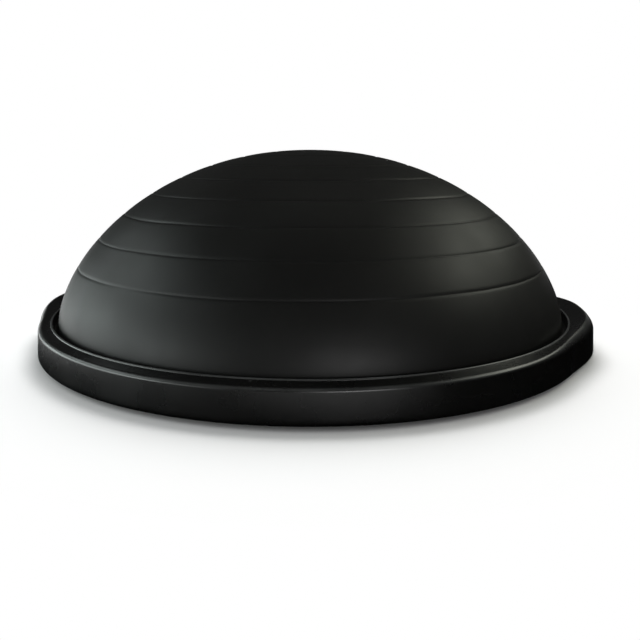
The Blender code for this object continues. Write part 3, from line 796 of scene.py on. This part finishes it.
def makeScrew(length):
    s = screwSizes
    profile = [(0, 0)] + arc(s["crown"], s["crownRound"], s["crownRound"], -90, s["crownTurn"], 2)
    profile += arc(s["head"] - s["headRound"], s["headRound"], s["headRound"], s["crownTurn"], 0, 6)
    profile += [(s["head"], s["headHeight"]), (s["shank"], s["headHeight"]),
                (s["shank"], length - s["tipLength"]), (s["tip"], length), (0, length)]
    screw = turnProfile("screwSource", profile, 32)
    for turn in (0.0, math.pi / 2):
        cutPiece(screw, makeRecess(turn))
    screw.data.set_sharp_from_angle(angle=math.radians(s["recessAngle"]))
    return screw


def setRound(name, prefix, makeSource, finish, slotName):
    nodes = [node for node in frame["nodes"] if node.startswith(prefix)]
    low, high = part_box(nodes[0])
    middle = (low + high) / 2
    source = makeSource(high.z - low.z)
    values = {"count": len(nodes), "radius": middle.xy.length, "turn": math.atan2(middle.y, middle.x),
              "height": low.z, "source": source, **ringDraws[name]}
    piece = growPiece(name, makeRingTree(values, finish), values)
    bpy.data.objects.remove(source)
    ridePiece(piece, trainerBody, slotName, *nodes)


setRound("feet", "foot_", makeFoot, finishes["footRubber"], "foot_black")
setRound("rimScrews", "rim_screw_", makeScrew, finishes["screwZinc"], "screw_steel")
setRound("deckScrews", "deck_screw_", makeScrew, finishes["screwZinc"], "screw_steel")
print("feet and screws set round")


# Pan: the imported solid's own shape with its moulded edges softened

panSizes = {
    "mergeWithin": 0.000005,
    "flatWithin": 0.6,          # faces that turn by fewer degrees than this become one
    "edgeWidth": 0.0006,
    "edgeSteps": 2,
    "edgeAngle": 40.0,
}


def makePan():
    s = panSizes
    shape = bmesh.new()
    shape.from_mesh(frame["nodes"]["base_pan"].data)
    bmesh.ops.remove_doubles(shape, verts=shape.verts, dist=s["mergeWithin"])
    bmesh.ops.dissolve_limit(shape, angle_limit=math.radians(s["flatWithin"]), verts=shape.verts,
                             edges=shape.edges)
    mesh = meshFrom(shape, "pan")
    mesh.materials.clear()
    mesh.materials.append(finishes["panPlastic"])
    pan = newPiece("pan", mesh)
    soft = pan.modifiers.new("soft", "BEVEL")
    soft.width = s["edgeWidth"]
    soft.segments = s["edgeSteps"]
    soft.limit_method = "ANGLE"
    soft.angle_limit = math.radians(s["edgeAngle"])
    bakePiece(pan)
    shadeSmooth(pan.data)
    flat = pan.modifiers.new("flat", "WEIGHTED_NORMAL")    # the large faces keep their own direction
    flat.mode = "FACE_AREA"
    flat.weight = 100
    flat.keep_sharp = True
    bakePiece(pan)
    return pan


ridePiece(makePan(), trainerBody, "platform_black", "base_pan")
for node, finish in (("deck_plate", "deckPlastic"), ("chamber_floor", "sheetRubber")):
    mesh = frame["nodes"][node].data
    mesh.materials.clear()
    mesh.materials.append(finishes[finish])
print("platform dressed")


# Floor, lamps and camera. Azimuths run from -Y towards +X, in degrees.

cameraSetup = {
    "target": (0.0, 0.0, 0.0985),
    "distance": 0.8681,
    "azimuth": 9.59,
    "elevation": 7.944,
    "lens": 39.11,
    "sensor": 36.0,
    "shiftX": 0.01547,
    "shiftY": -0.0970,
}
lampTarget = (0.0, 0.0, 0.1)
lampSetup = {
    "leftLamp": {"azimuth": -80, "elevation": 6, "distance": 1.8, "size": (2.4, 0.55), "power": 10.8,
                 "color": (0.90, 1.0, 0.98), "glossy": True},
    "leftHighLamp": {"azimuth": -85, "elevation": 31, "distance": 1.8, "size": (1.6, 0.5), "power": 4.4,
                     "color": (0.90, 1.0, 0.98), "glossy": True},
    "frontLeftLamp": {"azimuth": -44, "elevation": 5, "distance": 1.8, "size": (1.2, 0.6), "power": 2.0,
                      "color": (0.95, 1.0, 0.98), "glossy": True},
    "frontLamp": {"azimuth": 25, "elevation": 5, "distance": 1.8, "size": (0.7, 0.4), "power": 3.0,
                  "color": (1.0, 1.0, 1.0), "glossy": True},
    "rightLamp": {"azimuth": 113, "elevation": 38, "distance": 1.8, "size": (1.5, 0.6), "power": 5.7,
                  "color": (0.97, 1.0, 0.86), "glossy": True},
    "topLamp": {"azimuth": 185, "elevation": 60, "distance": 2.2, "size": (1.4, 1.4), "power": 42,
                "color": (1.0, 1.0, 1.0), "glossy": False},
}
stageSetup = {
    "floorSize": 16.0,
    "floorColor": 0.92,
    "whiteFrom": 0.34,          # the floor turns from shaded to plain white between these distances
    "whiteTo": 0.47,
    "worldLight": 0.40,
    "dimTone": 0.022,           # what gloss finds of the studio away from the backdrop
    "floorTone": 0.07,          # and of the floor, whose painted tone is painted shade darker to the right,
    "floorToneSlope": 0.20,
    "leftTone": 3.4,            # is painted paler out to the left
    "leftToneFrom": 0.24,
    "patchTone": 0.42,          # and in a patch in front,
    "patchPlace": (0.17, -0.62),
    "patchReach": 0.30,
    "floorToneFrom": 0.33,      # and is painted shade darkest right beside the rim
    "floorToneTo": 0.46,
    "floorToneLeast": 0.1,
    "backdropFrom": 0.74,       # cosines of how far off straight behind the backdrop fades in
    "backdropTo": 0.86,
    "backdropTop": 0.04,        # sine of the height at which the backdrop ends in gloss
    "backdropFade": 0.05,
}


def directionOf(azimuth, elevation):
    a, e = math.radians(azimuth), math.radians(elevation)
    return Vector((math.sin(a) * math.cos(e), -math.cos(a) * math.cos(e), math.sin(e)))


def aimAt(thing, target, s):
    back = directionOf(s["azimuth"], s["elevation"])
    thing.location = Vector(target) + back * s["distance"]
    thing.rotation_euler = (-back).to_track_quat("-Z", "Y").to_euler()


def makeCamera():
    s = cameraSetup
    data = bpy.data.cameras.new("camera")
    data.lens = s["lens"]
    data.sensor_width = s["sensor"]
    data.shift_x = s["shiftX"]
    data.shift_y = s["shiftY"]
    camera = newPiece("camera", data)
    aimAt(camera, s["target"], s)
    bpy.context.scene.camera = camera


def makeLamps():
    for name, s in lampSetup.items():
        data = bpy.data.lights.new(name, "AREA")
        data.shape = "RECTANGLE"
        data.size, data.size_y = s["size"]
        data.energy = s["power"]
        data.color = s["color"]
        lamp = newPiece(name, data)
        lamp.visible_glossy = s["glossy"]
        aimAt(lamp, lampTarget, s)


def raysOf(tree):    # 1 for the rays of the camera and of clear things, and 1 for those of gloss
    rays = addNode(tree, "ShaderNodeLightPath")
    seen = out(rays, "Is Camera Ray").calc("MAXIMUM", out(rays, "Is Transmission Ray"))
    return seen, out(rays, "Is Glossy Ray")


def onBackdrop(x, y):    # 1 in the part of the studio behind the trainer, which the picture shows
    behind = -directionOf(cameraSetup["azimuth"], 0.0)
    return (x * behind.x + y * behind.y).ramp(stageSetup["backdropFrom"], stageSetup["backdropTo"])


# Painted shade and painted reflection on the floor, which only gloss finds: darker to the right, paler to the
# left and in a patch in front, darkest beside the rim.
def paintedGlossToneAt(x, y, away):
    s = stageSetup
    left = (-x - s["leftToneFrom"]) * s["leftTone"]
    tone = (x * -s["floorToneSlope"] + s["floorTone"]).calc("MAXIMUM", left).clamp(0.0, 1.0)
    patchX, patchY = x - s["patchPlace"][0], y - s["patchPlace"][1]
    patch = -((patchX * patchX + patchY * patchY) / s["patchReach"] ** 2) + 1.0
    tone = tone + patch.clamp(0.0, 1.0) * s["patchTone"]
    return tone * away.ramp(s["floorToneFrom"], s["floorToneTo"]).calc("MAXIMUM", s["floorToneLeast"])


def makeFloorPaint():
    s = stageSetup
    paint = bpy.data.materials.new("floorPaint")
    paint.use_nodes = True
    tree = paint.node_tree
    seen, shine = raysOf(tree)
    x, y, _ = partsOf(tree, out(addNode(tree, "ShaderNodeTexCoord"), "Object"))
    away = (x * x + y * y).calc("SQRT")
    # gloss finds the painted tone, other rays the plain floor colour
    level = shine * (paintedGlossToneAt(x, y, away) - s["floorColor"]) + s["floorColor"]
    matt = tree.nodes["Principled BSDF"]
    feed(tree, matt.inputs["Base Color"], vectorOf(tree, level, level, level))
    matt.inputs["Roughness"].default_value = 1.0
    matt.inputs["Specular IOR Level"].default_value = 0.0
    white = addNode(tree, "ShaderNodeEmission")
    whiteShare = (seen + shine * onBackdrop(x / away, y / away)).clamp(0.0, 1.0)
    both = addNode(tree, "ShaderNodeMixShader", {"Fac": away.ramp(s["whiteFrom"], s["whiteTo"]) * whiteShare})
    tree.links.new(matt.outputs[0], both.inputs[1])
    tree.links.new(white.outputs[0], both.inputs[2])
    tree.links.new(both.outputs[0], tree.nodes["Material Output"].inputs["Surface"])
    return paint


def makeFloor():
    half = stageSetup["floorSize"] / 2
    corners = [(-half, -half, 0), (half, -half, 0), (half, half, 0), (-half, half, 0)]
    mesh = bpy.data.meshes.new("floor")
    mesh.from_pydata(corners, [], [(0, 1, 2, 3)])
    mesh.materials.append(makeFloorPaint())
    newPiece("floor", mesh)


def makeStudio():
    s = stageSetup
    world = bpy.data.worlds.new("studio")
    world.use_nodes = True
    bpy.context.scene.world = world
    tree = world.node_tree
    seen, shine = raysOf(tree)
    x, y, up = partsOf(tree, out(addNode(tree, "ShaderNodeTexCoord"), "Generated"))
    low = (-(up - s["backdropTop"]) / s["backdropFade"]).clamp(0.0, 1.0)
    shining = low * onBackdrop(x, y) * (1.0 - s["dimTone"]) + s["dimTone"]
    unseen = shine * (shining - s["worldLight"]) + s["worldLight"]
    sky = tree.nodes["Background"]
    sky.inputs["Color"].default_value = (1.0, 1.0, 1.0, 1.0)
    feed(tree, sky.inputs["Strength"], unseen + seen * (-unseen + 1.0))


makeCamera()
makeLamps()
makeFloor()
makeStudio()
bpy.context.scene.view_settings.view_transform = "Standard"
print("stage set")
